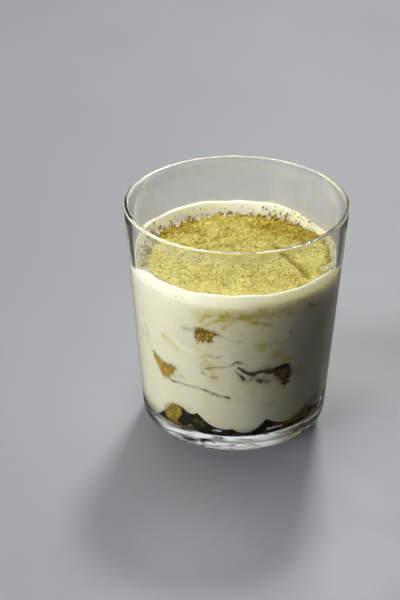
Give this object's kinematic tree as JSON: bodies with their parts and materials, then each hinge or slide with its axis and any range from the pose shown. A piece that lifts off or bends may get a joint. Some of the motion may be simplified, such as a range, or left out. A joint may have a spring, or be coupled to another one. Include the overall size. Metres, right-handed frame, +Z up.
{
  "type": "tiramisu in a glass tumbler",
  "caption": "Tapered clear tumbler filled with pale cream over a dark soaked sponge layer, with sponge pieces showing at the wall and green tea powder dusted on top.",
  "frame": {"origin": "centre of the plane that the tumbler's foot ring stands on", "axes": "+Z up along the tumbler's axis; -Y faces the viewer, +X to the viewer's right"},
  "size_m": [0.084, 0.084, 0.0894],
  "materials": {
    "glass": "clear soda glass, fire polished, with a few smears inside above the cream",
    "cream": "smooth satin whipped cream, ivory, slightly translucent",
    "soaked_sponge": "very dark wet sponge and tea syrup, glossy",
    "sponge": "damp porous sponge finger, golden to olive brown",
    "tea_powder": "dry sifted green tea powder, matt, with darker olive lumps"
  },
  "bodies": {
    "root": {"glass": "glass", "cream": "cream", "soaked_base": "soaked_sponge", "tea_powder": "tea_powder", "sponge_upper_front": "sponge", "sponge_middle_left": "sponge", "sponge_middle_right": "sponge", "sponge_upper_back": "sponge", "sponge_middle_back": "sponge", "sponge_middle_far_right": "sponge", "sponge_upper_left": "sponge", "sponge_base_left": "sponge", "sponge_base_right": "sponge", "sponge_base_back": "sponge", "sponge_base_far_left": "sponge"}
  },
  "joints": []
}
